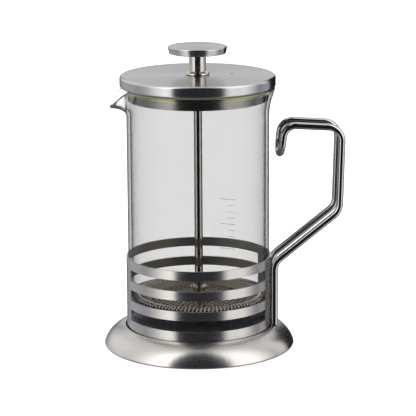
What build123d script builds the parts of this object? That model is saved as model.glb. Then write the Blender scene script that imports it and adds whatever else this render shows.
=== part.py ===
from build123d import *
import os
from math import cos, hypot, pi, radians, sin, sqrt

# A french press: a glass beaker in a slotted steel frame with a bent wire handle,
# a steel lid, and a plunger whose round filter is edged with a coil spring.
# Millimetres. The origin is on the table under the beaker's axis, +Z is up,
# the handle points along +X and the spout along -X.

# ---- frame: base flange, bottom plate, sleeve, seat plate ----
flange_width = 12.0           # from its hole to its widest point
flange_height = 11.8
flange_bulge = 2.2            # how far the dome stands out from its straight chord
flange_edge_height = 1.2      # height of the dome's widest point
hem_width = 2.4
sheet = 0.8                   # every pressed steel sheet
groove_gap = 0.9              # open groove between the sleeve and the flange

glass_radius = 40.0
glass_gap = 0.3               # beaker to sleeve, all round
sleeve_top = 52.0
window_count = 3
window_height = 6.3
window_pitch = 11.5
top_band_height = 5.2
handle_post_half_angle = 27.0         # degrees of sleeve left whole each side of the handle
spout_post_half_angle = 16.0
seat_height = 14.9
seat_lip_height = 4.5
weld_gap = 0.05               # pieces welded or pressed together, left just apart
rest_gap = 0.1                # loose pieces that stand on each other

# ---- handle: one round wire, bent to a hook and doubled back ----
wire_radius = 2.0
wire_spacing = 17.0           # between the two runs of the wire
lower_bend_height = 47.8
outer_low = (38.1, 76.9)      # sharp corners of the centre line: out from the sleeve, and up
outer_high = (39.4, 124.7)
hook_corner = (7.0, 126.9)
hook_end = (5.9, 118.0)       # where the round tip that joins the two runs starts
bend_radii = (9.0, 9.0, 8.0, 7.0)

# ---- beaker ----
glass_wall = 2.0
glass_floor = 2.5
glass_height = 133.5
heel_radius = 6.0
rim_flare = 3.2               # how much wider the rim is than the body
flare_height = 16.0           # height of the coned mouth
spout_length = 6.0            # from the rim out to its tip
spout_half_width = 15.5
spout_depth = 16.0            # below the rim, where the spout leaves the wall
spout_tip_drop = 9.4          # tip's upper edge below the rim
spout_tip_thick = 2.2
spout_tip_half_width = 3.4
spout_floor_half_width = 3.0
spout_taper = 0.6             # how much narrower the tip's floor is than its edge
spout_side_share = 0.6        # the spout's sides against the wall's thickness, level across
spout_root = 1.0              # how far its form starts inside the wall, before trimming

# ---- lid ----
lid_overhang = 0.4            # past the rim
lid_height = 6.5
lid_round = 1.5
lid_lower_round = 1.2
lid_hem_width = 2.6           # turned in under the lid, to rest on the glass
skirt_gap = 0.56              # skirt to the inside of the mouth
skirt_drop = 7.3              # below the lid's lower face
guide_shank_radius = 4.4
guide_ring_radius = 6.7
guide_ring_height = 1.4
guide_shank_length = 7.4
guide_nut_radius = 7.0
guide_nut_height = 2.0
washer_thick = 0.5
washer_rim = 1.2              # how far a washer stands out from what clamps it
running_gap = 0.08            # rod to guide bush
vent_radius = 0.9
vent_offset = 19.1

# ---- plunger and filter ----
rod_radius = 2.35
press_height = 24.6           # underside of the cross plate when pressed right down
cross_gap = 2.0               # cross plate to glass
cross_thick = 0.7
screen_gap = 1.1              # mesh screen to glass
screen_thick = 0.3
plate_thick = 0.7
plate_rim_width = 2.0
plate_cone_width = 3.7
plate_inset = 0.3             # plate's edge inside the middle of the coil
coil_seat_gap = 0.4           # coil to the mesh screen under it
coil_radius = 2.2             # of the spring's tube section
coil_wire = 0.6
coil_gap = 0.3                # coil to glass
coil_slot = 0.2               # plate to coil, above and below
plate_hole_radius = 0.95
plate_hole_first = 7.6        # radius of the innermost circle of holes
plate_hole_pitch = 3.1
plate_hole_edge = 1.7         # least distance from a hole's middle to the edge of the flat
cross_slot_inner = 9.0
cross_rim_width = 4.0
cross_arm_width = 4.0
cross_arm_count = 8
hub_radius = 3.5
hub_flare_radius = 4.85
hub_height = 7.1
hub_flare_height = 0.8
hub_socket_depth = 4.4
stud_radius = 2.0
stud_length = 6.6
bore_gap = 0.1
nut_across_flats = 8.0
nut_height = 3.6

# ---- knob ----
knob_radius = 16.7
knob_taper = 0.9
knob_thick = 4.0
knob_round = 0.5
neck_radius = 4.75
neck_height = 10.4
neck_seat_gap = 0.2
neck_wall_above_rod = 3.0
thread_gap = 0.05

# ---- places worked out from the sizes ----
sleeve_inner = glass_radius + glass_gap
sleeve_outer = sleeve_inner + sheet
flange_hole = sleeve_outer + groove_gap
beaker_base = seat_height + rest_gap
rim_height = beaker_base + glass_height
lid_base = rim_height + rest_gap
lid_top = lid_base + lid_height
guide_top = lid_top + guide_ring_height
screen_base = press_height + cross_thick
plate_base = screen_base + screen_thick
hub_base = plate_base + plate_thick
glass_inner = glass_radius - glass_wall
rim_radius = glass_radius + rim_flare
mouth_slope = rim_flare / flare_height
spout_reach = rim_radius + spout_length
base_radius = flange_hole + flange_width
lid_radius = rim_radius + lid_overhang
skirt_radius = (rim_radius - mouth_slope * (rim_height - lid_base + skirt_drop)
                - glass_wall * sqrt(1 + mouth_slope**2) - skirt_gap)
screen_radius = glass_inner - screen_gap
cross_radius = glass_inner - cross_gap
coil_centre_radius = glass_inner - coil_gap - coil_radius
plate_radius = coil_centre_radius - plate_inset
plate_rim_inner = plate_radius - plate_rim_width
plate_dish_radius = plate_rim_inner - plate_cone_width
plate_hole_rows = int((plate_dish_radius - plate_hole_edge - plate_hole_first) / plate_hole_pitch) + 1
coil_centre_height = plate_base + coil_seat_gap + coil_radius
plate_rise = coil_centre_height - plate_thick / 2 - plate_base      # rim above the flat middle
rod_base = hub_base + hub_height - hub_socket_depth
neck_base = guide_top + neck_seat_gap
knob_base = neck_base + neck_height
rod_top = knob_base - neck_wall_above_rod


def ring(inner, outer, low, high):
    """A plain ring about the axis."""
    body = Pos(0, 0, low) * extrude(Circle(outer), high - low)
    if inner > 0:
        body -= Pos(0, 0, low) * extrude(Circle(inner), high - low)
    return body


def turned(lines):
    """A solid of revolution from its section's closed outline, drawn as radius and height."""
    return revolve(Plane.XZ * make_face(lines), Axis.Z)


def closed(*points):
    """A closed straight-sided outline through (radius, height) points."""
    return Polyline(*points, close=True)


def flange_arc(inset):
    """Start, middle and end of the dome's arc, moved in by inset."""
    start = Vector(flange_hole, flange_height)
    end = Vector(base_radius, flange_edge_height)
    chord = end - start
    half = chord.length / 2
    arc_radius = (half**2 + flange_bulge**2) / (2 * flange_bulge)
    outward = Vector(-chord.Y, chord.X).normalized()
    centre = (start + end) * 0.5 - outward * (arc_radius - flange_bulge)
    share = (arc_radius - inset) / arc_radius
    crown = centre + outward * arc_radius
    return [centre + (point - centre) * share for point in (start, crown, end)]


def make_base_flange():
    start, crown, end = flange_arc(0)
    inner_start, inner_crown, inner_end = flange_arc(sheet)
    foot = base_radius - flange_edge_height
    section = [
        ThreePointArc(start, crown, end),
        RadiusArc(end, (foot, 0), flange_edge_height),
        Polyline((foot, 0), (foot - hem_width, 0), (foot - hem_width, sheet),
                 (foot, sheet), inner_end),
        ThreePointArc(inner_end, inner_crown, inner_start),
        Line(inner_start, start),
    ]
    return turned(section)


def make_bottom_plate():
    """A shallow pan, flush underneath with the flange's hem and resting on it by its brim."""
    brim = base_radius - flange_edge_height - weld_gap
    pan = base_radius - flange_edge_height - hem_width - weld_gap
    low = sheet + weld_gap
    return turned(closed(
        (0, 0), (pan, 0), (pan, low), (brim, low), (brim, low + sheet),
        (pan - sheet, low + sheet), (pan - sheet, sheet), (0, sheet)))


def window_cutter():
    """Two wedges, to the front and the back, that leave the two posts whole."""
    reach = 2 * sleeve_outer
    start = handle_post_half_angle
    end = 180 - spout_post_half_angle
    angles = [start + i * (end - start) / 4 for i in range(5)]
    front = [(reach * cos(radians(a)), reach * sin(radians(a))) for a in angles]
    wedge = make_face(Polyline((0, 0), *front, close=True))
    return extrude(wedge + mirror(wedge, Plane.XZ), window_height)


def make_sleeve():
    body = ring(sleeve_inner, sleeve_outer, sheet, sleeve_top)
    for i in range(window_count):
        low = sleeve_top - top_band_height - window_height - i * window_pitch
        body -= Pos(0, 0, low) * window_cutter()
    return body


def make_seat_plate():
    outer = sleeve_inner - weld_gap
    return turned(closed(
        (0, seat_height), (outer, seat_height), (outer, seat_height - seat_lip_height),
        (outer - sheet, seat_height - seat_lip_height), (outer - sheet, seat_height - sheet),
        (0, seat_height - sheet)))


def make_handle():
    side = wire_spacing / 2
    root = sqrt((sleeve_outer + wire_radius + weld_gap) ** 2 - side**2)
    bends = [(sleeve_outer + out, z) for out, z in (outer_low, outer_high, hook_corner, hook_end)]
    corners = [(root, flange_height + weld_gap), (root, lower_bend_height), *bends]
    near = FilletPolyline(*[(x, -side, z) for x, z in corners], radius=list(bend_radii))
    far = mirror(near, Plane.XZ)
    tip_x, tip_z = bends[-1]
    corner_x, corner_z = bends[-2]
    drop = Vector(tip_x - corner_x, 0, tip_z - corner_z).normalized()
    middle = Vector(tip_x, 0, tip_z) + drop * side
    tip = ThreePointArc((tip_x, -side, tip_z), middle, (tip_x, side, tip_z))
    path = Wire([*near.edges(), *tip.edges(), *far.edges()])
    start = Plane((root, -side, flange_height + weld_gap))
    return sweep(start * Circle(wire_radius), path=path)


def glass_outline(inset):
    """The beaker's outline from axis to rim, moved in by inset and closed along the axis."""
    side = inset * sqrt(1 + mouth_slope**2)
    floor = beaker_base + (glass_floor if inset else 0)
    neck = rim_height - flare_height
    heel = heel_radius - inset
    radius = glass_radius - inset
    return [
        Line((0, floor), (radius - heel, floor)),
        RadiusArc((radius - heel, floor), (radius, floor + heel), -heel),
        Polyline((radius, floor + heel), (radius, neck),
                 (rim_radius - side, rim_height), (0, rim_height), (0, floor)),
    ]


def spout_section(at, half_top, top, half_floor, floor):
    """One upright four-cornered section of the spout, across X."""
    corners = Polyline((-half_top, top), (-half_floor, floor), (half_floor, floor),
                       (half_top, top), close=True)
    return Plane((at, 0, 0), x_dir=(0, 1, 0), z_dir=(1, 0, 0)) * make_face(corners)


def make_spout():
    """The spout's wedge from the wall out to its tip, before its channel is cut."""
    root = spout_root - glass_inner
    tip_top = rim_height - spout_tip_drop
    wide = spout_section(root, spout_half_width, rim_height,
                         spout_floor_half_width, rim_height - spout_depth)
    narrow = spout_section(-spout_reach, spout_tip_half_width, tip_top,
                           spout_tip_half_width - spout_taper, tip_top - spout_tip_thick)
    return loft([wide, narrow], ruled=True)


def make_spout_channel():
    """What is cut from the rim and the wedge: the channel, and the open space above it."""
    root = spout_root - glass_inner
    past = -spout_reach - glass_wall / 2
    side = spout_side_share * glass_wall
    clear = rim_height + glass_wall
    tip_top = rim_height - spout_tip_drop
    half_root = spout_half_width - glass_wall
    half_tip = spout_tip_half_width - side
    channel = loft([
        spout_section(root, half_root, rim_height,
                      spout_floor_half_width - side, rim_height - spout_depth + glass_wall),
        spout_section(past, half_tip, tip_top + spout_taper, half_tip - spout_taper, tip_top),
    ], ruled=True)
    above = loft([
        spout_section(root, half_root, clear, half_root, rim_height),
        spout_section(past, half_tip, clear, half_tip, tip_top + spout_taper),
    ], ruled=True)
    return channel + above


def make_beaker():
    outside = turned(glass_outline(0))
    inside = turned(glass_outline(glass_wall))
    return outside + make_spout() - inside - make_spout_channel()


def make_lid_cap():
    outside = ring(0, lid_radius, lid_base, lid_top)
    outside = fillet(outside.edges().group_by(Axis.Z)[-1], lid_round)
    outside = fillet(outside.edges().group_by(Axis.Z)[0], lid_lower_round)
    inside = ring(0, lid_radius - sheet, lid_base + sheet, lid_top - sheet)
    inside = fillet(inside.edges().group_by(Axis.Z)[-1], lid_round - sheet)
    inside = fillet(inside.edges().group_by(Axis.Z)[0], lid_lower_round - sheet)
    body = outside - inside
    body -= ring(0, lid_radius - lid_hem_width, lid_base, lid_base + sheet)
    body -= ring(0, guide_shank_radius + weld_gap, lid_top - sheet, lid_top)
    return body - Pos(vent_offset, 0, 0) * ring(0, vent_radius, lid_top - sheet, lid_top)


def make_lid_skirt():
    top = lid_top - sheet
    bottom = lid_base - skirt_drop
    inner = guide_shank_radius + weld_gap
    body = turned(closed(
        (inner, top), (skirt_radius, top), (skirt_radius, bottom),
        (skirt_radius - sheet, bottom), (skirt_radius - sheet, top - sheet),
        (inner, top - sheet)))
    return body - Pos(vent_offset, 0, 0) * ring(0, vent_radius, top - sheet, top)


def make_lid_guide():
    top = lid_top + guide_ring_height
    half = guide_ring_height / 2
    shank_end = lid_top - guide_shank_length
    bore = rod_radius + running_gap
    section = [
        Polyline((bore, shank_end), (guide_shank_radius, shank_end),
                 (guide_shank_radius, lid_top), (guide_ring_radius - half, lid_top)),
        ThreePointArc((guide_ring_radius - half, lid_top), (guide_ring_radius, lid_top + half),
                      (guide_ring_radius - half, top)),
        Polyline((guide_ring_radius - half, top), (bore, top), (bore, shank_end)),
    ]
    return turned(section)


def make_guide_washer():
    top = lid_top - 2 * sheet
    inner = guide_shank_radius + weld_gap
    return ring(inner, guide_nut_radius + washer_rim, top - washer_thick, top)


def make_guide_nut():
    top = lid_top - 2 * sheet - washer_thick
    hexagon = extrude(RegularPolygon(guide_nut_radius, 6), guide_nut_height)
    hexagon = Pos(0, 0, top - guide_nut_height) * hexagon
    return hexagon - ring(0, guide_shank_radius + weld_gap, top - guide_nut_height, top)


def make_plunger_rod():
    rod = ring(0, rod_radius, rod_base, rod_top)
    return chamfer(rod.edges().group_by(Axis.Z)[-1], rod_radius / 5)


def make_filter_hub():
    """The boss on the rod's foot: a flared cup for the rod, and the stud under it."""
    top = hub_base + hub_height
    socket = rod_radius + thread_gap
    return turned(closed(
        (0, hub_base - stud_length), (stud_radius, hub_base - stud_length),
        (stud_radius, hub_base), (hub_radius, hub_base),
        (hub_radius, top - 2 * hub_flare_height), (hub_flare_radius, top - hub_flare_height),
        (hub_flare_radius, top), (hub_flare_radius - hub_flare_height, top),
        (socket, top - 2 * hub_flare_height), (socket, rod_base - weld_gap),
        (0, rod_base - weld_gap)))


def make_spring_plate():
    bore = stud_radius + bore_gap
    low = plate_base
    high = plate_base + plate_rise
    body = turned(closed(
        (bore, low), (plate_dish_radius, low), (plate_rim_inner, high), (plate_radius, high),
        (plate_radius, high + plate_thick), (plate_rim_inner - 0.4 * plate_thick, high + plate_thick),
        (plate_dish_radius - 0.4 * plate_thick, low + plate_thick), (bore, low + plate_thick)))
    hole = ring(0, plate_hole_radius, low, low + plate_thick)
    for i in range(plate_hole_rows):
        circle = plate_hole_first + i * plate_hole_pitch
        body -= PolarLocations(circle, round(2 * pi * circle / plate_hole_pitch)) * hole
    return body


def make_filter_spring():
    """The closed coil spring round the plate's edge, as a hollow ring with a slot for the plate."""
    slot = plate_thick + 2 * coil_slot
    tube = Circle(coil_radius) - Circle(coil_radius - coil_wire)
    tube -= Pos(-coil_radius, 0) * Rectangle(2 * coil_radius, slot)
    section = Plane.XZ * Pos(coil_centre_radius, coil_centre_height) * tube
    return revolve(section, Axis.Z)


def make_mesh_screen():
    return ring(stud_radius + bore_gap, screen_radius, screen_base, screen_base + screen_thick)


def make_cross_plate():
    body = ring(stud_radius + bore_gap, cross_radius, press_height, screen_base)
    openings = ring(cross_slot_inner, cross_radius - cross_rim_width, press_height, screen_base)
    arm = Pos(0, 0, press_height) * extrude(Rectangle(2 * cross_radius, cross_arm_width), cross_thick)
    for i in range(cross_arm_count // 2):
        openings -= Rot(0, 0, i * 360 / cross_arm_count) * arm
    return body - openings


def make_filter_washer():
    rim = nut_across_flats / 2 + washer_rim
    return ring(stud_radius + bore_gap, rim, press_height - washer_thick, press_height)


def make_filter_nut():
    top = press_height - washer_thick
    outline = RegularPolygon(nut_across_flats / 2, 6, major_radius=False)
    hexagon = Pos(0, 0, top - nut_height) * extrude(outline, nut_height)
    return hexagon - ring(0, stud_radius + thread_gap, top - nut_height, top)


def make_knob_neck():
    body = ring(0, neck_radius, neck_base, knob_base)
    body = chamfer(body.edges().group_by(Axis.Z)[0], knob_round)
    return body - ring(0, rod_radius + thread_gap, neck_base, rod_top + thread_gap)


def make_knob_disc():
    top = knob_base + knob_thick
    disc = turned(closed((0, knob_base), (knob_radius - knob_taper, knob_base),
                         (knob_radius, top), (0, top)))
    return fillet(disc.edges().filter_by(GeomType.CIRCLE), knob_round)


makers = {
    "base_flange": make_base_flange,
    "bottom_plate": make_bottom_plate,
    "sleeve": make_sleeve,
    "seat_plate": make_seat_plate,
    "handle": make_handle,
    "beaker": make_beaker,
    "lid_cap": make_lid_cap,
    "lid_skirt": make_lid_skirt,
    "lid_guide": make_lid_guide,
    "guide_washer": make_guide_washer,
    "guide_nut": make_guide_nut,
    "plunger_rod": make_plunger_rod,
    "filter_hub": make_filter_hub,
    "spring_plate": make_spring_plate,
    "filter_spring": make_filter_spring,
    "mesh_screen": make_mesh_screen,
    "cross_plate": make_cross_plate,
    "filter_washer": make_filter_washer,
    "filter_nut": make_filter_nut,
    "knob_neck": make_knob_neck,
    "knob_disc": make_knob_disc,
}

os.makedirs("parts", exist_ok=True)
for name, make in makers.items():
    export_step(make(), f"parts/{name}.step")
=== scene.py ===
from math import cos, pi, radians, sin

import bmesh
import bpy
import numpy as np
from mathutils import Matrix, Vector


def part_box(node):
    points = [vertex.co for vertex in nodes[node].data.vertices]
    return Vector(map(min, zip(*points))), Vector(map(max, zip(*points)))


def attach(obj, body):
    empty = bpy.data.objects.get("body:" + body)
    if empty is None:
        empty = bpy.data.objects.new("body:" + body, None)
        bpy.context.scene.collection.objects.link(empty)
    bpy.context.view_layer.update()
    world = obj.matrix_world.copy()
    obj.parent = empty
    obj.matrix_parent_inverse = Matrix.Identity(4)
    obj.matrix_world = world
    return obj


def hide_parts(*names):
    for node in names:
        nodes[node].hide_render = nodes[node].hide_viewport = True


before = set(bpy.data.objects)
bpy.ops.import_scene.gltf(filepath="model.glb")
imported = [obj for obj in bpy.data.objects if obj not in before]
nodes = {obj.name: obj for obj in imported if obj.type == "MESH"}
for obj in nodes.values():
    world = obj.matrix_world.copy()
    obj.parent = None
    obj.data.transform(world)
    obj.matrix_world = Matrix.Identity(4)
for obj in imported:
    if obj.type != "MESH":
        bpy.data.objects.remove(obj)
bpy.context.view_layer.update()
mm = 0.001

# ---------------------------------------------------------------- camera
# A long lens a little over a metre away and a third of a metre up. It looks slightly down
# at the front of the press, a few degrees round towards the spout.
camera_distance = 1.1295
camera_height = 0.3372
camera_azimuth = radians(-4.84)
camera_pan = radians(-0.274)
camera_tilt = radians(-12.89)
camera_roll = radians(-0.313)
camera_lens = 177.36

camera = bpy.data.objects.new("camera", bpy.data.cameras.new("camera"))
bpy.context.scene.collection.objects.link(camera)
camera.data.sensor_width = 36
camera.data.lens = camera_lens
camera.data.clip_start = 0.05
camera.data.clip_end = 50
camera.matrix_world = (
    Matrix.Rotation(camera_azimuth, 4, "Z")
    @ Matrix.Translation((0, -camera_distance, camera_height))
    @ Matrix.Rotation(camera_pan, 4, "Z")
    @ Matrix.Rotation(pi / 2 + camera_tilt, 4, "X")
    @ Matrix.Rotation(camera_roll, 4, "Z"))
bpy.context.scene.camera = camera
bpy.context.scene.view_settings.view_transform = "Standard"
bpy.context.scene.cycles.max_bounces = 20
bpy.context.scene.cycles.transmission_bounces = 14
bpy.context.scene.cycles.glossy_bounces = 8


def linear(hex_colour):
    """An sRGB hex colour as linear red, green, blue and alpha."""
    parts = [int(hex_colour[i:i + 2], 16) / 255 for i in (1, 3, 5)]
    return [p / 12.92 if p <= 0.04045 else ((p + 0.055) / 1.055) ** 2.4 for p in parts] + [1]


def add(tree, kind, settings, **links):
    """A node with its settings, and the sockets that feed it, by input name or number (_0)."""
    node = tree.nodes.new(kind)
    for key, value in settings.items():
        if hasattr(node, str(key)):
            setattr(node, key, value)
        else:
            node.inputs[key].default_value = value
    for key, source in links.items():
        slot = int(key[1:]) if key.startswith("_") else key.replace("_", " ")
        tree.links.new(source, node.inputs[slot])
    return node


def new_material(name):
    """An empty material and its node tree."""
    material = bpy.data.materials.new(name)
    material.use_nodes = True
    material.node_tree.nodes.clear()
    return material, material.node_tree


# ---------------------------------------------------------------- table
# A sheet of white paper under the press, glowing a little from the table light below it, so
# that it stays an even pale ground. Mirrored rays pass it by: the steel sees only the room.
table_half = 4.0
table_glow = 0.6

sheet = bpy.data.meshes.new("white_table")
sheet.from_pydata([(x * table_half, y * table_half, 0) for x, y in
                   ((-1, -1), (1, -1), (1, 1), (-1, 1))], [], [(0, 1, 2, 3)])
table = bpy.data.objects.new("white_table", sheet)
bpy.context.scene.collection.objects.link(table)
# matt white paper: no gloss at all, an even faintly uneven white
paper, tree = new_material("matt_white_paper")
place = add(tree, "ShaderNodeTexCoord", {})
pulp = add(tree, "ShaderNodeTexNoise", {"Scale": 1 / (40 * mm)}, Vector=place.outputs["Object"])
tone = add(tree, "ShaderNodeMix", {"data_type": "RGBA", 6: linear("#f4f4f4"), 7: linear("#fbfbfb")},
           Factor=pulp.outputs["Fac"])
body = add(tree, "ShaderNodeBsdfPrincipled", {
    "Roughness": 0.95, "Specular IOR Level": 0.1,
    "Emission Color": linear("#ffffff"), "Emission Strength": table_glow},
    Base_Color=tone.outputs["Result"])
rays = add(tree, "ShaderNodeLightPath", {})
mirrored = add(tree, "ShaderNodeMath", {"operation": "GREATER_THAN", 1: 0.5},
               _0=rays.outputs["Glossy Depth"])
unseen = add(tree, "ShaderNodeBsdfTransparent", {})
ground = add(tree, "ShaderNodeMixShader", {}, _0=mirrored.outputs[0], _1=body.outputs[0],
             _2=unseen.outputs[0])
add(tree, "ShaderNodeOutputMaterial", {}, Surface=ground.outputs[0])
table.data.materials.append(paper)

# ---------------------------------------------------------------- studio
# The room as polished steel sees it, round from behind the press: a white wall straight
# behind, black flags beside it, grey sides, a tall soft box either side of the camera and
# the dark of the room round the camera. A big round soft box hangs over the back. Only
# mirrored and scattered light sees the room; straight on or through the glass it is white.
room_levels = (
    (-180, 0.2), (-168, 0.1), (-160, 0.5), (-140, 0.75), (-115, 0.75), (-95, 0.65), (-78, 0.85),
    (-60, 1.35), (-47, 1.7), (-41, 1.55), (-35, 0.09), (-20, 0.04), (0, 0.03), (20, 0.04),
    (36, 0.09), (44, 1.1), (52, 1.4), (60, 1.25), (72, 1.4), (90, 0.9), (104, 0.52), (116, 0.7),
    (129, 0.72), (135, 0.02), (162, 0.02), (170, 0.3), (180, 0.2))
brightest = 2.25
gain_below = 0.85
gain_above = 1.5
box_direction = (0, 0.5, 0.866)
box_level = 0.95
wall_direction = (0, 0.98, 0.2)
wall_level = 0.8
table_level = 0.4

world = bpy.data.worlds.new("studio")
bpy.context.scene.world = world
world.use_nodes = True
tree = world.node_tree
tree.nodes.clear()
place = add(tree, "ShaderNodeTexCoord", {})
facing = add(tree, "ShaderNodeMapping", {"Rotation": (0, 0, -camera_azimuth)},
             Vector=place.outputs["Generated"])
split = add(tree, "ShaderNodeSeparateXYZ", {}, Vector=facing.outputs[0])
forward = add(tree, "ShaderNodeMath", {"operation": "MULTIPLY", 1: -1}, _0=split.outputs["Y"])
turn = add(tree, "ShaderNodeMath", {"operation": "ARCTAN2"},
           _0=split.outputs["X"], _1=forward.outputs[0])
share = add(tree, "ShaderNodeMapRange", {"From Min": -pi, "From Max": pi}, Value=turn.outputs[0])
walls = add(tree, "ShaderNodeFloatCurve", {}, Value=share.outputs[0])
line = walls.mapping.curves[0]
for angle, level in room_levels[1:-1]:
    line.points.new(angle / 360 + 0.5, level / brightest)
line.points[0].location = (0, room_levels[0][1] / brightest)
line.points[-1].location = (1, room_levels[-1][1] / brightest)
for point in line.points:
    point.handle_type = "VECTOR"
walls.mapping.update()
gain = add(tree, "ShaderNodeMapRange", {"interpolation_type": "SMOOTHSTEP",
                                        "From Min": -0.25, "From Max": 0.25,
                                        "To Min": gain_below * brightest,
                                        "To Max": gain_above * brightest},
           Value=split.outputs["Z"])
walls_level = add(tree, "ShaderNodeMath", {"operation": "MULTIPLY"},
                  _0=walls.outputs[0], _1=gain.outputs[0])
toward_box = add(tree, "ShaderNodeVectorMath", {"operation": "DOT_PRODUCT", 1: box_direction},
                 _0=facing.outputs[0])
box_mask = add(tree, "ShaderNodeMapRange", {"interpolation_type": "SMOOTHSTEP",
                                            "From Min": cos(radians(42)),
                                            "From Max": cos(radians(36))},
               Value=toward_box.outputs["Value"])
with_box = add(tree, "ShaderNodeMix", {"data_type": "FLOAT", 3: box_level},
               _0=box_mask.outputs[0], _2=walls_level.outputs[0])
toward_wall = add(tree, "ShaderNodeVectorMath", {"operation": "DOT_PRODUCT", 1: wall_direction},
                  _0=facing.outputs[0])
wall_mask = add(tree, "ShaderNodeMapRange", {"interpolation_type": "SMOOTHSTEP",
                                             "From Min": cos(radians(19)),
                                             "From Max": cos(radians(10))},
                Value=toward_wall.outputs["Value"])
with_wall = add(tree, "ShaderNodeMix", {"data_type": "FLOAT", 3: wall_level},
                _0=wall_mask.outputs[0], _2=with_box.outputs[0])
low_mask = add(tree, "ShaderNodeMapRange", {"interpolation_type": "SMOOTHSTEP",
                                            "From Min": -0.62, "From Max": -0.9},
               Value=split.outputs["Z"])
with_table = add(tree, "ShaderNodeMix", {"data_type": "FLOAT", 3: table_level},
                 _0=low_mask.outputs[0], _2=with_wall.outputs[0])
rays = add(tree, "ShaderNodeLightPath", {})
mirrored = add(tree, "ShaderNodeMath", {"operation": "ADD"},
               _0=rays.outputs["Glossy Depth"], _1=rays.outputs["Diffuse Depth"])
seen = add(tree, "ShaderNodeMath", {"operation": "LESS_THAN", 1: 0.5}, _0=mirrored.outputs[0])
strength = add(tree, "ShaderNodeMix", {"data_type": "FLOAT", 3: 1.0},
               _0=seen.outputs[0], _2=with_table.outputs[0])
hue = add(tree, "ShaderNodeMix", {"data_type": "RGBA", 6: linear("#8a96b8"), 7: linear("#fffefd")},
          _0=strength.outputs[0])
sky = add(tree, "ShaderNodeBackground", {}, Color=hue.outputs["Result"],
          Strength=strength.outputs[0])
add(tree, "ShaderNodeOutputWorld", {}, Surface=sky.outputs[0])

# ---------------------------------------------------------------- stand: flange, sleeve
# The domed foot flange and the slotted sleeve are stainless sheet, spun and blanked, then
# brushed round the axis on a lathe with a belt, which leaves fine rings on them.


def turned_grain(tree, streak, run):
    """Noise drawn out into rings about the axis: streak and run are a ring's width and length."""
    place = add(tree, "ShaderNodeTexCoord", {})
    flat = add(tree, "ShaderNodeVectorMath", {"operation": "MULTIPLY", 1: (1, 1, 0)},
               _0=place.outputs["Object"])
    radius = add(tree, "ShaderNodeVectorMath", {"operation": "LENGTH"}, _0=flat.outputs[0])
    split = add(tree, "ShaderNodeSeparateXYZ", {}, Vector=place.outputs["Object"])
    across = add(tree, "ShaderNodeCombineXYZ", {}, X=radius.outputs["Value"],
                 Y=split.outputs["Z"])
    rings = add(tree, "ShaderNodeVectorMath", {"operation": "SCALE", "Scale": 1 / streak},
                _0=across.outputs[0])
    along = add(tree, "ShaderNodeVectorMath", {"operation": "SCALE", "Scale": 1 / run},
                _0=flat.outputs[0])
    both = add(tree, "ShaderNodeVectorMath", {"operation": "ADD"},
               _0=rings.outputs[0], _1=along.outputs[0])
    return add(tree, "ShaderNodeTexNoise", {"Scale": 1.0, "Detail": 3.0, "Roughness": 0.6},
               Vector=both.outputs[0])


def brushed_steel(name, colour, worn_colour, rough, spread, depth):
    """Stainless steel with a satin belt finish that runs round the Z axis."""
    material, tree = new_material(name)
    # belt scratches are 0.05 mm wide; they are drawn at 0.3 mm to show at all
    grain = turned_grain(tree, 0.3 * mm, 9 * mm)
    place = add(tree, "ShaderNodeTexCoord", {})
    handling = add(tree, "ShaderNodeTexNoise", {"Scale": 1 / (22 * mm), "Detail": 2.0},
                   Vector=place.outputs["Object"])
    shade = add(tree, "ShaderNodeMix", {"data_type": "RGBA", 6: linear(worn_colour),
                                        7: linear(colour)}, Factor=grain.outputs["Fac"])
    scratch = add(tree, "ShaderNodeMapRange", {"To Min": rough - 0.05, "To Max": rough + 0.05},
                  Value=grain.outputs["Fac"])
    touched = add(tree, "ShaderNodeMapRange", {"To Min": -0.03, "To Max": 0.03},
                  Value=handling.outputs["Fac"])
    roughness = add(tree, "ShaderNodeMath", {"operation": "ADD"},
                    _0=scratch.outputs[0], _1=touched.outputs[0])
    bump = add(tree, "ShaderNodeBump", {"Strength": depth, "Distance": 0.02 * mm},
               Height=grain.outputs["Fac"])
    lay = add(tree, "ShaderNodeTangent", {"direction_type": "RADIAL", "axis": "Z"})
    body = add(tree, "ShaderNodeBsdfPrincipled", {
        "Metallic": 1.0, "Anisotropic": spread, "Anisotropic Rotation": 0.25},
        Base_Color=shade.outputs["Result"], Roughness=roughness.outputs[0],
        Normal=bump.outputs[0], Tangent=lay.outputs[0])
    add(tree, "ShaderNodeOutputMaterial", {}, Surface=body.outputs[0])
    return material


def finish(node, material):
    """Gives a CAD node its material."""
    slots = nodes[node].data.materials
    slots.clear()
    slots.append(material)


# satin stainless steel: soft vertical streaks of light on the walls, sharp round the axis
satin_steel = brushed_steel("satin_brushed_stainless", "#d0cdca", "#bbb8b5", 0.26, 0.75, 0.3)
finish("base_flange", satin_steel)
# the sleeve's inner face misses the belt and keeps the sheet's dull mill finish
sleeve_steel = brushed_steel("satin_stainless_dull_inside", "#d0cdca", "#bbb8b5", 0.26, 0.75, 0.3)
tree = sleeve_steel.node_tree
brushed = next(node for node in tree.nodes if node.type == "BSDF_PRINCIPLED")
output = next(node for node in tree.nodes if node.type == "OUTPUT_MATERIAL")
place = add(tree, "ShaderNodeTexCoord", {})
flat = add(tree, "ShaderNodeVectorMath", {"operation": "MULTIPLY", 1: (1, 1, 0)},
           _0=place.outputs["Object"])
radius = add(tree, "ShaderNodeVectorMath", {"operation": "LENGTH"}, _0=flat.outputs[0])
sleeve_outside = add(tree, "ShaderNodeMath", {"operation": "GREATER_THAN",
                                              1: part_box("sleeve")[1].y - 0.5 * mm},
                     _0=radius.outputs["Value"])
cloud = add(tree, "ShaderNodeTexNoise", {"Scale": 1 / (4 * mm), "Detail": 3.0},
            Vector=place.outputs["Object"])
dull_rough = add(tree, "ShaderNodeMapRange", {"To Min": 0.5, "To Max": 0.7},
                 Value=cloud.outputs["Fac"])
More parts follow.
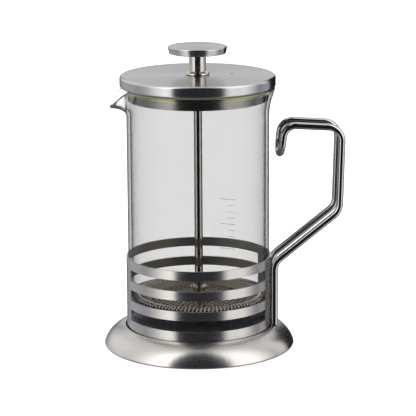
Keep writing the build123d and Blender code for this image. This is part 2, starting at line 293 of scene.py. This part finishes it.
dull = add(tree, "ShaderNodeBsdfPrincipled", {"Metallic": 1.0, "Base Color": linear("#e0d8d0")},
           Roughness=dull_rough.outputs[0])
both = add(tree, "ShaderNodeMixShader", {}, _0=sleeve_outside.outputs[0],
           _1=dull.outputs[0], _2=brushed.outputs[0])
tree.links.new(both.outputs[0], output.inputs["Surface"])
finish("sleeve", sleeve_steel)

# ---------------------------------------------------------------- stand: bottom pan, seat plate
# Two pressings hidden inside the stand: the flat pan that it stands on, hemmed into the
# flange, and the plate that the glass stands on. Both are plain mill-finish sheet; the seat
# plate's pale blue-grey colour is painted light and a painted blue-grey reflection.


def mill_steel(name, colour, dark_colour, rough, grain_size):
    """Cold rolled stainless sheet: a dull finish in the given colours, with faint rolling lines one
    way.
    """
    # rolling lines are a few hundredths of a millimetre apart; they are drawn at grain_size
    material, tree = new_material(name)
    place = add(tree, "ShaderNodeTexCoord", {})
    rolled = add(tree, "ShaderNodeMapping", {"Scale": (1, 0.06, 1)}, Vector=place.outputs["Object"])
    lines = add(tree, "ShaderNodeTexNoise", {"Scale": 1 / grain_size, "Detail": 3.0},
                Vector=rolled.outputs[0])
    shade = add(tree, "ShaderNodeMix", {"data_type": "RGBA", 6: linear(dark_colour),
                                        7: linear(colour)}, Factor=lines.outputs["Fac"])
    roughness = add(tree, "ShaderNodeMapRange", {"To Min": rough - 0.05, "To Max": rough + 0.06},
                    Value=lines.outputs["Fac"])
    bump = add(tree, "ShaderNodeBump", {"Strength": 0.2, "Distance": 0.02 * mm},
               Height=lines.outputs["Fac"])
    body = add(tree, "ShaderNodeBsdfPrincipled", {"Metallic": 1.0},
               Base_Color=shade.outputs["Result"], Roughness=roughness.outputs[0],
               Normal=bump.outputs[0])
    add(tree, "ShaderNodeOutputMaterial", {}, Surface=body.outputs[0])
    return material


# mill-finish sheet: cloudy reflections, with no brushing
mill_sheet = mill_steel("mill_finish_stainless", "#c3c1be", "#aaa8a6", 0.3, 0.8 * mm)
finish("bottom_plate", mill_sheet)
# painted light: the seat plate's colour is made pale and blue-grey to stand in for the light and
# the blue-grey reflection it lacks in the shade inside the stand
seat_sheet_painted_light = mill_steel("seat_plate_painted_light_stainless", "#e6e8ee", "#a3a8b3", 0.5, 2.2 * mm)
finish("seat_plate", seat_sheet_painted_light)

# ---------------------------------------------------------------- stand: handle
# One length of 4 mm stainless wire, bent to a hook and doubled back, its two runs welded to
# the sleeve and the flange. The wire is bright drawn and then barrel polished.


def polished_steel(name, colour, rough):
    """Mirror-polished stainless: a hard mirror with the faintest haze and handling marks."""
    material, tree = new_material(name)
    place = add(tree, "ShaderNodeTexCoord", {})
    haze = add(tree, "ShaderNodeTexNoise", {"Scale": 1 / (9 * mm), "Detail": 3.0},
               Vector=place.outputs["Object"])
    roughness = add(tree, "ShaderNodeMapRange", {"To Min": rough * 0.7, "To Max": rough * 1.4},
                    Value=haze.outputs["Fac"])
    body = add(tree, "ShaderNodeBsdfPrincipled", {"Metallic": 1.0,
                                                  "Base Color": linear(colour)},
               Roughness=roughness.outputs[0])
    add(tree, "ShaderNodeOutputMaterial", {}, Surface=body.outputs[0])
    return material


# polished wire: black and white lines run its whole length
bright_wire = polished_steel("barrel_polished_stainless", "#bfbbb8", 0.05)
finish("handle", bright_wire)

# ---------------------------------------------------------------- beaker
# The glass jug: blown and moulded borosilicate, 2 mm thick, with a rounded heel, a mouth
# that flares under the lid, a fire-polished rim and a lip drawn down into a pouring beak.


def skin(name, rings, material):
    """A closed mesh piece from rings of points, each joined to the next, ends included."""
    rings = np.asarray(rings)
    count, around = rings.shape[:2]
    corner = np.arange(count * around).reshape(count, around)
    after = np.roll(corner, -1, axis=1)
    faces = np.stack([corner[:-1], after[:-1], after[1:], corner[1:]], axis=-1).reshape(-1, 4)
    mesh = bpy.data.meshes.new(name)
    mesh.from_pydata(rings.reshape(-1, 3).tolist(), [], faces.tolist())
    work = bmesh.new()
    work.from_mesh(mesh)
    bmesh.ops.remove_doubles(work, verts=work.verts, dist=0.002 * mm)
    bmesh.ops.recalc_face_normals(work, faces=work.faces)
    work.to_mesh(mesh)
    work.free()
    mesh.shade_smooth()
    piece = bpy.data.objects.new(name, mesh)
    bpy.context.scene.collection.objects.link(piece)
    piece.data.materials.append(material)
    return piece


glass_low, glass_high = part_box("beaker")
glass_wall = 2.0 * mm
glass_floor = 2.5 * mm
glass_radius = 40.0 * mm
heel_radius = 6.0 * mm
flare_height = 16.0 * mm
beak_half_turn = radians(25)
beak_drop = 9.5 * mm
around = 288

half = glass_wall / 2
wall_radius = glass_radius - half
bend = heel_radius - half
floor_middle = glass_low.z + glass_floor / 2
flare_start = glass_high.z - flare_height
rim_middle = glass_high.z - half
mouth_radius = glass_high.x - half
beak_tip = -glass_low.x - half

section = [(share * (wall_radius - bend), floor_middle, glass_floor / 2)
           for share in (0, 0.05, 0.3, 0.6, 0.85, 1)]
for step in range(1, 13):
    angle = step / 12 * pi / 2
    section.append((wall_radius - bend + bend * sin(angle), floor_middle + bend * (1 - cos(angle)),
                    glass_floor / 2 + (half - glass_floor / 2) * step / 12))
heel_top = floor_middle + bend
section += [(wall_radius, heel_top + share * (flare_start - heel_top), half)
            for share in (0.02, 0.1, 0.3, 0.5, 0.7, 0.9, 0.97)]
turns = np.linspace(-pi, pi, around, endpoint=False)
outward = np.stack([np.cos(turns), np.sin(turns), np.zeros(around)], axis=-1)
upward = np.array([0, 0, 1.0])
plain = [radius * outward + height * upward for radius, height, _ in section]
thickness = [part[2] for part in section]
# the mouth: a cone all round, drawn out and down into a beak on the side away from the handle
off_beak = np.abs(np.mod(turns, 2 * pi) - pi) / beak_half_turn
beak = (0.5 + 0.5 * np.cos(pi * np.clip(off_beak, 0, 1)))[:, None] ** 1.25
for step in range(25):
    share = step / 24
    height = flare_start + share * (rim_middle - flare_start)
    lean = share ** 2 * (1.5 - 0.5 * share)
    radius = wall_radius + (mouth_radius - wall_radius) * lean
    beak_radius = wall_radius + (beak_tip - wall_radius) * (1 - cos(share * pi / 2))
    beak_height = flare_start + (rim_middle - beak_drop - flare_start) * sin(share * pi / 2)
    cone = radius * outward + height * upward
    drawn = beak_radius * outward + beak_height * upward
    plain.append(cone + beak * (drawn - cone))
    thickness.append(half)
middle = np.array(plain)
rise = np.gradient(middle, axis=0)
sweep = np.roll(middle, -1, axis=1) - np.roll(middle, 1, axis=1)
normal = np.cross(sweep, rise)
normal[0] = -upward
normal /= np.linalg.norm(normal, axis=-1, keepdims=True)
thickness = np.array(thickness)[:, None, None]
outside = middle + normal * thickness
inside = middle - normal * thickness
top = rise[-1] / np.linalg.norm(rise[-1], axis=-1, keepdims=True)
rim = [middle[-1] + half * (cos(a) * normal[-1] + sin(a) * top)
       for a in (step / 10 * pi for step in range(1, 10))]

# borosilicate glass: clear and a little grey, darker where the eye looks along the wall, and
# olive at the rim, where it looks down through the whole height of the glass
clear_glass, tree = new_material("clear_borosilicate_glass")
place = add(tree, "ShaderNodeTexCoord", {})
split = add(tree, "ShaderNodeSeparateXYZ", {}, Vector=place.outputs["Object"])
rim_mask = add(tree, "ShaderNodeMapRange", {"From Min": rim_middle - 1.2 * mm,
                                            "From Max": rim_middle + 0.1 * mm},
               Value=split.outputs["Z"])
view = add(tree, "ShaderNodeLayerWeight", {"Blend": 0.5})
upright = add(tree, "ShaderNodeMapRange", {"From Min": heel_top - 3 * mm, "From Max": heel_top},
              Value=split.outputs["Z"])
slant = add(tree, "ShaderNodeMath", {"operation": "MULTIPLY"},
            _0=view.outputs["Facing"], _1=upright.outputs[0])
edge = add(tree, "ShaderNodeMapRange", {"interpolation_type": "SMOOTHSTEP",
                                        "From Min": 0.7, "From Max": 1.0},
           Value=slant.outputs[0])
wall = add(tree, "ShaderNodeMix", {"data_type": "RGBA", 6: linear("#eeeeee"), 7: linear("#888b8d")},
           Factor=edge.outputs[0])
tint = add(tree, "ShaderNodeMix", {"data_type": "RGBA", 6: linear("#f6f8f8"), 7: linear("#c9cb6c")},
           Factor=rim_mask.outputs[0])
ripple = add(tree, "ShaderNodeTexNoise", {"Scale": 1 / (30 * mm), "Detail": 1.0},
             Vector=place.outputs["Object"])
bump = add(tree, "ShaderNodeBump", {"Strength": 0.12, "Distance": 0.2 * mm},
           Height=ripple.outputs["Fac"])
body = add(tree, "ShaderNodeBsdfPrincipled", {
    "Roughness": 0.0, "IOR": 1.474, "Transmission Weight": 1.0},
    Base_Color=tint.outputs["Result"], Normal=bump.outputs[0])
depth = add(tree, "ShaderNodeVolumeAbsorption", {"Color": linear("#bcbfbf"), "Density": 50.0})
# the even wall shifts nothing that is seen through it, so it lets light straight on and only
# mirrors a little, and the rim and the beak bend light as solid glass does
clear_tint = add(tree, "ShaderNodeMix", {"data_type": "RGBA", 6: linear("#fcfcfd")},
                 Factor=upright.outputs[0], _7=wall.outputs["Result"])
clear_wall = add(tree, "ShaderNodeBsdfTransparent", {}, Color=clear_tint.outputs["Result"])
mirror = add(tree, "ShaderNodeBsdfGlossy", {"Roughness": 0.0}, Normal=bump.outputs[0])
grazing = add(tree, "ShaderNodeMath", {"operation": "POWER", 1: 5.0}, _0=slant.outputs[0])
share = add(tree, "ShaderNodeMapRange", {"To Min": 0.004, "To Max": 0.8},
            Value=grazing.outputs[0])
thin_glass = add(tree, "ShaderNodeMixShader", {}, _0=share.outputs[0],
                 _1=clear_wall.outputs[0], _2=mirror.outputs[0])
at_rim = add(tree, "ShaderNodeMath", {"operation": "GREATER_THAN", 1: rim_middle - 1.2 * mm},
             _0=split.outputs["Z"])
at_beak = add(tree, "ShaderNodeMath", {"operation": "LESS_THAN", 1: -glass_radius - 0.2 * mm},
              _0=split.outputs["X"])
bends = add(tree, "ShaderNodeMath", {"operation": "MAXIMUM"},
            _0=at_rim.outputs[0], _1=at_beak.outputs[0])
glass = add(tree, "ShaderNodeMixShader", {}, _0=bends.outputs[0], _1=thin_glass.outputs[0],
            _2=body.outputs[0])
add(tree, "ShaderNodeOutputMaterial", {}, Surface=glass.outputs[0], Volume=depth.outputs[0])

beaker = skin("beaker_glass", [*outside, *rim, *inside[::-1]], clear_glass)
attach(beaker, "beaker")
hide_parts("beaker")

# ---------------------------------------------------------------- beaker: level marks
# Filling marks fired on the outside of the glass at the back: short and long bars of pale
# grey ceramic enamel, a few hundredths of a millimetre thick.
enamel, tree = new_material("pale_grey_ceramic_enamel")
place = add(tree, "ShaderNodeTexCoord", {})
speck = add(tree, "ShaderNodeTexNoise", {"Scale": 1 / (0.6 * mm)}, Vector=place.outputs["Object"])
tone = add(tree, "ShaderNodeMix", {"data_type": "RGBA", 6: linear("#dcdee0"), 7: linear("#e8eaec")},
           Factor=speck.outputs["Fac"])
body = add(tree, "ShaderNodeBsdfPrincipled", {"Roughness": 0.5, "IOR": 1.5},
           Base_Color=tone.outputs["Result"])
thinly = add(tree, "ShaderNodeBsdfTransparent", {})
# the print is a thin film: four fifths of the light passes straight through it
film = add(tree, "ShaderNodeMixShader", {0: 0.8}, _1=body.outputs[0], _2=thinly.outputs[0])
add(tree, "ShaderNodeOutputMaterial", {}, Surface=film.outputs[0])

mark_face = glass_radius + 0.02 * mm
mark_thick = 0.04 * mm
mark_start = radians(53)
mark_count = 9
lowest_mark = 46 * mm
mark_step = 3.7 * mm
long_mark = 9.5 * mm
short_mark = 5.0 * mm
bars = []
for level in range(mark_count):
    height = lowest_mark + mark_step * level
    long = level % 4 == 0
    width = (long_mark if long else short_mark) / glass_radius
    tall = (0.55 if long else 0.4) * mm
    bars.append((height, mark_start, mark_start + width, tall))
points = []
faces = []
for height, start, end, tall in bars:
    bends_in_bar = 8
    base = len(points)
    for step in range(bends_in_bar + 1):
        angle = start + (end - start) * step / bends_in_bar
        for radius in (mark_face, mark_face + mark_thick):
            for edge in (-tall / 2, tall / 2):
                points.append((radius * cos(angle), radius * sin(angle), height + edge))
    ring = ((0, 1), (1, 3), (3, 2), (2, 0))
    for step in range(bends_in_bar):
        here = base + 4 * step
        faces += [(here + a, here + b, here + 4 + b, here + 4 + a) for a, b in ring]
    faces.append((base, base + 2, base + 3, base + 1))
    last = base + 4 * bends_in_bar
    faces.append((last, last + 1, last + 3, last + 2))
mesh = bpy.data.meshes.new("level_marks")
mesh.from_pydata(points, [], faces)
marks = bpy.data.objects.new("level_marks", mesh)
bpy.context.scene.collection.objects.link(marks)
marks.data.materials.append(enamel)
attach(marks, "beaker")

# ---------------------------------------------------------------- lid
# A shallow cap drawn from stainless sheet and brushed in rings on the lathe, with a drawn
# skirt spot-welded inside it that drops into the mouth of the glass.
lid_steel = brushed_steel("ring_brushed_stainless", "#cbcac9", "#b2b1b0", 0.22, 0.85, 0.3)
finish("lid_cap", lid_steel)
skirt_steel = brushed_steel("skirt_satin_stainless", "#c9c5c1", "#b8b4b0", 0.24, 0.6, 0.15)
finish("lid_skirt", skirt_steel)

# ---------------------------------------------------------------- lid: guide bush
# A polished turned bush that the rod slides in, held under the lid by a washer and a thin nut.
turned_steel = polished_steel("turned_polished_stainless", "#cfcac5", 0.1)
finish("lid_guide", turned_steel)
# machined nuts and washers: a fine lathe finish, greyer than the polished parts
machined_steel = brushed_steel("machined_stainless", "#b9b6b2", "#a3a09c", 0.3, 0.5, 0.3)
for node in ("guide_washer", "guide_nut", "filter_washer", "filter_nut"):
    finish(node, machined_steel)

# ---------------------------------------------------------------- plunger: rod and hub
# A centreless-ground, polished rod screwed into a flared hub that clamps the filter stack.
rod_steel = polished_steel("ground_polished_rod", "#cdc6bf", 0.09)
finish("plunger_rod", rod_steel)
finish("filter_hub", turned_steel)

# ---------------------------------------------------------------- plunger: plates
# The perforated spring plate and the slotted cross plate are blanked from thin sheet and
# clamped either side of the mesh.
# painted shade: the plates' dark, warm brown-grey is shade painted into their colour; the rolling
# lines through it are the sheet's own grain
plate_steel_painted_shade = mill_steel("blanked_thin_stainless", "#c2b6a8", "#8b8176", 0.3, 0.6 * mm)
for node in ("spring_plate", "cross_plate"):
    finish(node, plate_steel_painted_shade)

# ---------------------------------------------------------------- plunger: spring
# A closed ring of coil spring that runs round the spring plate's edge, wound from bright
# stainless wire. It wipes the glass. The 0.6 mm wire is drawn at 0.85 mm so that it shows.


def tube(path, across, up, width, sides):
    """Rings of a round tube along a path, from its section's two directions."""
    angles = np.linspace(0, 2 * pi, sides, endpoint=False)
    shape_x = (np.cos(angles) * width / 2)[None, :, None]
    shape_y = (np.sin(angles) * width / 2)[None, :, None]
    return path[:, None, :] + shape_x * across[:, None, :] + shape_y * up[:, None, :]


spring_low, spring_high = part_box("filter_spring")
spring_wire = 0.85 * mm
spring_turns = 104
steps_per_turn = 16
coil = (spring_high.z - spring_low.z) / 2 - spring_wire / 2
coil_centre = spring_high.x - spring_wire / 2 - coil
coil_height = (spring_low.z + spring_high.z) / 2
travel = np.linspace(0, 2 * pi, spring_turns * steps_per_turn + 1)
phase = spring_turns * travel
radial = np.stack([np.cos(travel), np.sin(travel), np.zeros_like(travel)], axis=-1)
path = ((coil_centre + coil * np.cos(phase))[:, None] * radial
        + (coil_height + coil * np.sin(phase))[:, None] * upward)
along = np.gradient(path, axis=0)
along[0] = along[-1] = along[0] + along[-1]
along /= np.linalg.norm(along, axis=-1, keepdims=True)
out = np.cos(phase)[:, None] * radial + np.sin(phase)[:, None] * upward
side = np.cross(along, out)
side /= np.linalg.norm(side, axis=-1, keepdims=True)
out = np.cross(side, along)
# bright drawn spring wire: every turn carries its own highlight and its own black line
spring_steel = polished_steel("bright_drawn_spring_wire", "#f0ebe4", 0.14)
spring = skin("coil_spring", tube(path, out, side, spring_wire, 8), spring_steel)
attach(spring, "plunger")
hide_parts("filter_spring")

# ---------------------------------------------------------------- plunger: mesh
# The strainer: fine stainless wire woven one over, one under, blanked to a disc and pressed
# flat. Real openings are 0.25 mm; they are drawn at 0.9 mm so that the weave shows.
mesh_low, mesh_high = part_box("mesh_screen")
weave_pitch = 0.9 * mm
weave_thick = (mesh_high.z - mesh_low.z) / 2
weave_width = 0.34 * mm
mesh_radius = mesh_high.x
mesh_hem = 1.2 * mm
mesh_hole = 2.3 * mm
mesh_height = (mesh_low.z + mesh_high.z) / 2
# woven wire: bright crowns on a dark ground
woven_steel = polished_steel("woven_stainless_wire", "#c4bbb0", 0.3)
points = []
faces = []
half_count = int((mesh_radius - mesh_hem) / weave_pitch)
for across_x in (True, False):
    for row in range(-half_count, half_count + 1):
        offset = (row + 0.5) * weave_pitch
        if abs(offset) >= mesh_radius - mesh_hem:
            continue
        reach = (max((mesh_radius - mesh_hem / 2) ** 2 - offset ** 2, 0)) ** 0.5
        spans = [(-reach, reach)]
        if abs(offset) < mesh_hole:
            gap = (mesh_hole ** 2 - offset ** 2) ** 0.5 + weave_width
            spans = [(-reach, -gap), (gap, reach)]
        for start, end in spans:
            count = max(int((end - start) / (weave_pitch / 2)) + 1, 3)
            run = np.linspace(start, end, count)
            lift = (weave_thick / 2) * np.cos(pi * (run / weave_pitch + row)
                                              + (0 if across_x else pi))
            base = len(points)
            for at, high in zip(run, lift):
                for wide, tall in ((-1, 0), (0, 1), (1, 0), (0, -1)):
                    over = offset + wide * weave_width / 2
                    height = mesh_height + high + tall * weave_thick / 2
                    points.append((at, over, height) if across_x else (over, at, height))
            for step in range(count - 1):
                here = base + 4 * step
                faces += [(here + i, here + (i + 1) % 4, here + 4 + (i + 1) % 4, here + 4 + i)
                          for i in range(4)]
            faces.append((base + 3, base + 2, base + 1, base))
            last = base + 4 * (count - 1)
            faces.append((last, last + 1, last + 2, last + 3))
# the pressed hem round the disc's edge
hem_start = len(points)
for step in range(around):
    angle = step / around * 2 * pi
    for radius, height in ((mesh_radius - mesh_hem, mesh_low.z), (mesh_radius, mesh_low.z),
                           (mesh_radius, mesh_high.z), (mesh_radius - mesh_hem, mesh_high.z)):
        points.append((radius * cos(angle), radius * sin(angle), height))
for step in range(around):
    here = hem_start + 4 * step
    there = hem_start + 4 * ((step + 1) % around)
    faces += [(here + i, there + i, there + (i + 1) % 4, here + (i + 1) % 4) for i in range(4)]
mesh = bpy.data.meshes.new("woven_screen")
mesh.from_pydata(points, [], faces)
work = bmesh.new()
work.from_mesh(mesh)
bmesh.ops.recalc_face_normals(work, faces=work.faces)
work.to_mesh(mesh)
work.free()
screen = bpy.data.objects.new("woven_screen", mesh)
bpy.context.scene.collection.objects.link(screen)
screen.data.materials.append(woven_steel)
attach(screen, "plunger")
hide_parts("mesh_screen")

# ---------------------------------------------------------------- knob
# A polished tubular neck screwed on the rod, with a solid turned disc on top that is brushed
# in rings on its face and its edge.
finish("knob_neck", turned_steel)
finish("knob_disc", lid_steel)
